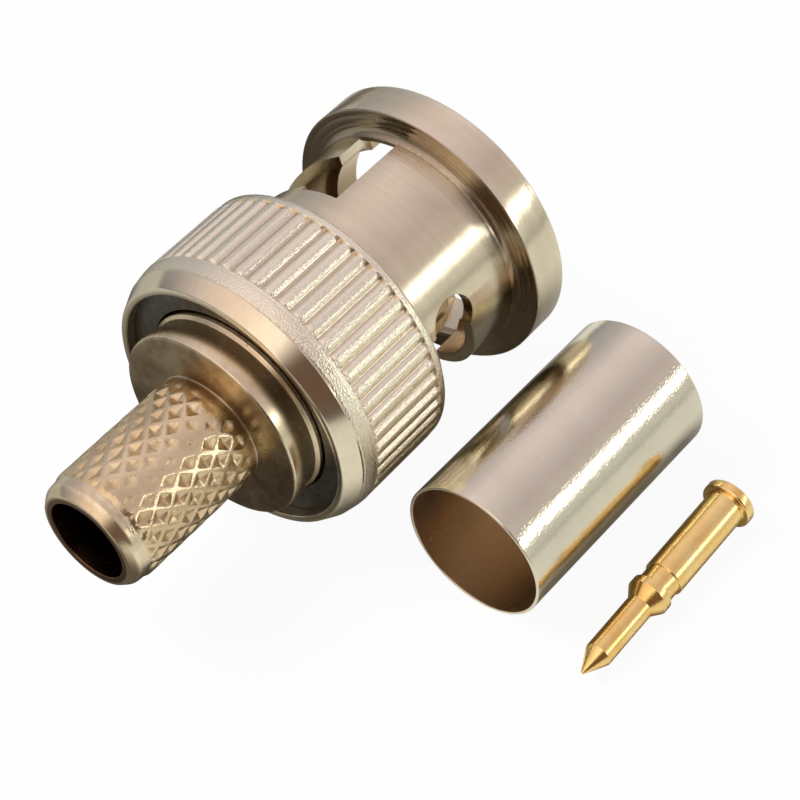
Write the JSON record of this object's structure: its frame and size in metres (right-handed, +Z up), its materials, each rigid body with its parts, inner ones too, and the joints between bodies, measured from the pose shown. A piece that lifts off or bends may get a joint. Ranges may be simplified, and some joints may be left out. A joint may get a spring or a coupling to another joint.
{
  "type": "bayonet coaxial connector plug",
  "caption": "Crimp-on bayonet coaxial plug with a knurled coupling nut and a knurled stem, its crimp sleeve and its gold-plated centre contact lying loose beside it.",
  "frame": {"origin": "bottom centre of the group's bounding box, on the surface that the three pieces lie on", "axes": "+X along the connector's axis, from the cable stem to the mating end; +Z up; the loose sleeve and contact lie towards -Y"},
  "size_m": [0.025, 0.027, 0.0143],
  "materials": {
    "nut_plating": "nickel plated, turned",
    "body_plating": "nickel plated, knurled",
    "contact_plating": "nickel plated",
    "dielectric": "white fluoropolymer",
    "gasket_rubber": "silicone rubber",
    "washer_steel": "dull plated",
    "spring_steel": "spring temper",
    "sleeve_plating": "nickel plated, polished",
    "gold_plating": "gold plated"
  },
  "bodies": {
    "plug": {"plug_body": "body_plating", "outer_contact": "contact_plating", "insulator": "dielectric", "gasket": "gasket_rubber", "wave_washer": "spring_steel", "crimp_sleeve": "sleeve_plating", "center_contact": "gold_plating"},
    "thrust_washer": {"flat_washer": "washer_steel"},
    "nut": {"coupling_nut": "nut_plating"}
  },
  "joints": [
    {"name": "nut_travel", "type": "slide", "parent": "plug", "child": "thrust_washer", "axis": [1, 0, 0], "range_m": [0, 0.0007], "stiffness_N_per_m": 300, "springref_m": -0.0005, "deforming": ["wave_washer"]},
    {"name": "nut_turn", "type": "hinge", "parent": "thrust_washer", "child": "nut", "pos_m": [0.00355, 0.00632, 0.00715], "axis": [1, 0, 0], "continuous": true}
  ]
}
